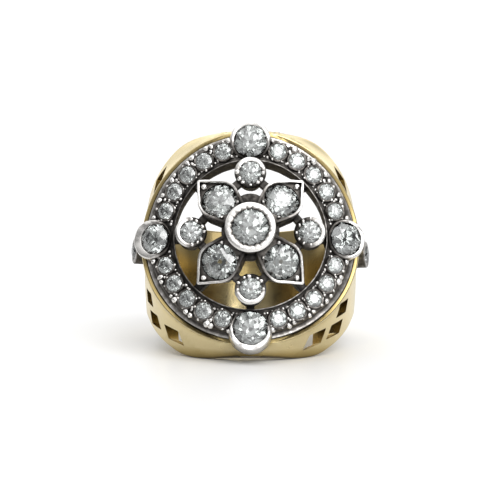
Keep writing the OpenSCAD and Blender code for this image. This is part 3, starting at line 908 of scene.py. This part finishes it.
# %% [markdown]
# The stones are held by grains: little beads raised from the metal with a graver and rounded with a cup tool.
# They could be scattered by a particle system, but each has its place beside a stone, so loops put them
# there: on both edges of the border between the stones, round each of its stones, at the petals' corners and
# all round the small bezels. Every grain is a squashed ball with a few dozen faces, and no two are alike.

# %% One grain
def grain(r, bright):
    """One bead of silver, a little flattened and dented, with its foot in the metal."""
    ball = bmesh.new()
    bmesh.ops.create_icosphere(ball, subdivisions=2, radius=r)
    squash = Matrix.Diagonal((uniform(0.85, 1.2), uniform(0.8, 1.1), uniform(0.75, 0.95), 1))
    ball.transform(turn(uniform(0, 360), "Z") @ squash)
    for v in ball.verts:
        v.co *= uniform(0.9, 1.08)
    # painted shade: each grain's lower part is darker, as the shade round its foot
    wear_and_shade(ball, lambda p: bright - 0.5 * (p.z < -0.3 * r))
    return ball


sample = bmesh.new()
bmesh.ops.create_icosphere(sample, subdivisions=2, radius=1)
print("faces of a grain:", len(sample.faces))
sample.free()

# %% Grains between the border's stones
OUTER_ROW, INNER_ROW, MIDDLE_ROW, SUNK = 9.98, 8.2, 9.5, -0.2
ROW_START, ROW_END = 4.5, 85.5  # as if a small stone stood here, under the edge of the large one

beads = []
neighbours = zip([ROW_START] + BORDER_ANGLES, BORDER_ANGLES + [ROW_END])
middles = [(a + b) / 2 for a, b in neighbours]
for q in quarters:
    for middle in middles:
        angle = 90 * q + middle
        for side in (-1, 1):
            outer = on_saddle(OUTER_ROW + uniform(-0.1, 0.08), angle + side * uniform(1.2, 2.3), SUNK)
            beads.append((grain(uniform(0.24, 0.36), 1.0), outer))
            inner = on_saddle(INNER_ROW + uniform(-0.06, 0.1), angle + side * uniform(0.8, 1.9), SUNK)
            beads.append((grain(uniform(0.1, 0.2), 0.8), inner))
        beads.append((grain(uniform(0.18, 0.24), 0.9), on_saddle(MIDDLE_ROW, angle, -0.16)))
print("grains:", len(beads))

# %% [markdown]
# The other grains lie against the stones themselves. A row could be copied round by an array, but then each
# stone would wear the same crown. So the places are stepped round each stone, and every step strays a little.

# %% Grains round the stones
PER_STONE, PER_BEZEL = 5, 12
TIP_GRAIN, TIP_GRAIN_X = 0.31, 2.25
FOOT_GRAIN, FOOT_GRAIN_X, FOOT_GRAIN_Y = 0.21, -1.62, 1.12

for place in border_places:
    for k in range(PER_STONE):
        round_stone = turn(360 / PER_STONE * k + uniform(-20, 20), "Z")
        spot = place @ round_stone @ shift(uniform(0.96, 1.04), 0, -0.1)
        beads.append((grain(uniform(0.1, 0.17), 0.85), spot))
for place in petal_places:
    beads.append((grain(TIP_GRAIN, 1.0), place @ shift(TIP_GRAIN_X, 0, -0.02)))
    for side in (-1, 1):
        beads.append((grain(FOOT_GRAIN, 0.7), place @ shift(FOOT_GRAIN_X, side * FOOT_GRAIN_Y, -0.02)))
for place in bezel_places:
    for k in range(PER_BEZEL):
        faces_centre = abs(k - PER_BEZEL / 2) < 4  # on the bright outer side they are smaller and lower
        out, low = (uniform(1.24, 1.34), -0.06) if faces_centre else (uniform(1.18, 1.26), -0.13)
        spot = place @ turn(360 / PER_BEZEL * k + uniform(-6, 6), "Z") @ shift(out, 0, low)
        beads.append((grain(uniform(0.16, 0.25) if faces_centre else uniform(0.13, 0.19), 1.0), spot))
print("all grains:", len(beads))
finish_piece(as_object(joined(beads), "grains"), silver)

# %% [markdown]
# A small collet sits on each side of the shank. It is the same kind of turned cup as the others, so it is spun
# from a profile too, with a foot that sinks into the gold.

# %% Side collets
for name, place in zip(("east", "west"), side_places):
    collet = lathe([
        (0.4, -0.35), (1.34, -0.35), (1.34, 1.18), (1.28, 1.27), (1.1, 1.3), (0.9, 1.26), (0.89, 1.2),
        (0.98, 1.13), (0.98, 1.05), (0.4, 0.6),
    ], steps=48)
    wear_and_shade(collet, lambda p: 0.5 if p.z > 1.25 else 0.22)
    collet.transform(place)
    collet = as_object(collet, f"side_collet_dressed_{name}")
    finish_piece(collet, silver, [f"side_collet_{name}"])

# %% [markdown]
# The ring lies on a plain white table. A sheet that is as white as it looks would fill the shadow and wash
# the metal out, so the table is nearly white to the camera's own rays and a darker grey to all others.

# %% Table
TABLE_HALF = 6

floor = bmesh.new()
bmesh.ops.create_grid(floor, x_segments=1, y_segments=1, size=TABLE_HALF)
floor = as_object(floor, "table")
paper, tree, shader = new_material("white_table")
ray = add(tree, "ShaderNodeLightPath")
sheet = rescale(tree, ray.outputs["Is Camera Ray"], low=0.62, high=0.9)
tree.links.new(sheet, shader.inputs["Base Color"])
shader.inputs["Roughness"].default_value = 0.35
floor.data.materials.append(paper)
print("table, m:", 2 * TABLE_HALF)

# %% [markdown]
# Polished metal shows what stands round it, so the light is a room and not only a lamp. It could be built
# from lamps and boards. A world of soft panels does the same with a few nodes: one overhead, one behind, one
# low in front and a brighter one at the top. A soft noise breaks them up, because metal and stones need dark
# next to light. One broad, soft sun gives the shadow under the ring.

# %% Light
world = bpy.data.worlds.new("studio")
bpy.context.scene.world = world
world.use_nodes = True
tree = world.node_tree
background = tree.nodes["Background"]
direction = add(tree, "ShaderNodeTexCoord").outputs["Generated"]
split = add(tree, "ShaderNodeSeparateXYZ")
tree.links.new(direction, split.inputs["Vector"])
front = add(tree, "ShaderNodeVectorMath", operation="DOT_PRODUCT")
tree.links.new(direction, front.inputs[0])
front.inputs[1].default_value = (0.15, -0.82, 0.55)


def panel(value, start, full, strength):
    """Light that grows from nothing to full strength as a direction's value goes from start to full."""
    return rescale(tree, value, low=0, high=strength, start=start, full=full, kind="SMOOTHSTEP")


overhead = panel(split.outputs["Z"], start=0.3, full=0.8, strength=1.0)
behind = panel(split.outputs["Y"], start=0.1, full=0.6, strength=1.0)
low_front = panel(front.outputs["Value"], start=0.75, full=0.92, strength=1.0)
zenith = panel(split.outputs["Z"], start=0.8, full=0.97, strength=1.6)
light = overhead
for more in (behind, low_front, zenith):
    light = calculate(tree, "MAXIMUM", light, more)
broken = add(tree, "ShaderNodeTexNoise", Scale=2.2, Detail=1)
tree.links.new(direction, broken.inputs["Vector"])
gaps = calculate(tree, "ADD", panel(broken.outputs["Fac"], start=0.4, full=0.6, strength=0.8), 0.45)
light = calculate(tree, "ADD", calculate(tree, "MULTIPLY", light, gaps), 0.2)
ray = add(tree, "ShaderNodeLightPath")
light = calculate(tree, "MAXIMUM", light, ray.outputs["Is Camera Ray"])
background.inputs["Color"].default_value = (1, 1, 1, 1)
tree.links.new(light, background.inputs["Strength"])

sun = bpy.data.objects.new("softbox", bpy.data.lights.new("softbox", "SUN"))
sun.data.energy, sun.data.angle = 1.6, radians(50)
sun.rotation_euler = (radians(40), radians(35), 0)
bpy.context.scene.collection.objects.link(sun)
bpy.context.scene.view_settings.view_transform = "Standard"
print("light nodes:", len(tree.nodes))
